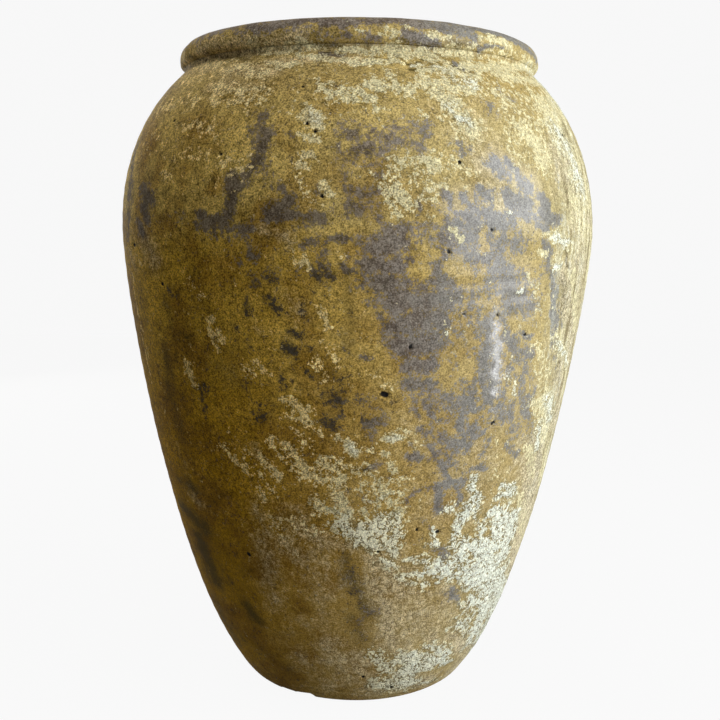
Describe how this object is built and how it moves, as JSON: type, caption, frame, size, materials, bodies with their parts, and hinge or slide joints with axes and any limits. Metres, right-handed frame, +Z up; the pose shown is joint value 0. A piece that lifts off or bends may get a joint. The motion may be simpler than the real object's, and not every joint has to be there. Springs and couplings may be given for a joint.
{
  "type": "olive jar",
  "caption": "Tall terracotta olive jar with a narrow flat foot, swelling wall, rounded shoulder, pinched neck and rolled rim, in worn ochre slip with lime deposits.",
  "frame": {"origin": "on the ground, at the centre of the foot", "axes": "+Z up along the jar's axis, -Y towards the viewer of the picture"},
  "size_m": [0.505, 0.505, 0.679],
  "materials": {
    "worn_ochre_clay": "satin ochre slip, worn through to a dark fired skin and crusted with lime",
    "bare_clay": "matt bare fired clay",
    "pale_slip": "matt pale grey slip"
  },
  "bodies": {
    "root": {"floor_slab": "worn_ochre_clay", "floor_coil": "bare_clay", "foot_wall": "worn_ochre_clay", "foot_seam_coil": "bare_clay", "lower_wall": "worn_ochre_clay", "lower_seam_coil": "bare_clay", "belly_wall": "worn_ochre_clay", "belly_seam_coil": "bare_clay", "shoulder_wall": "worn_ochre_clay", "neck_collar": "bare_clay", "neck_fillet": "pale_slip", "rim_roll": "worn_ochre_clay"}
  },
  "joints": []
}
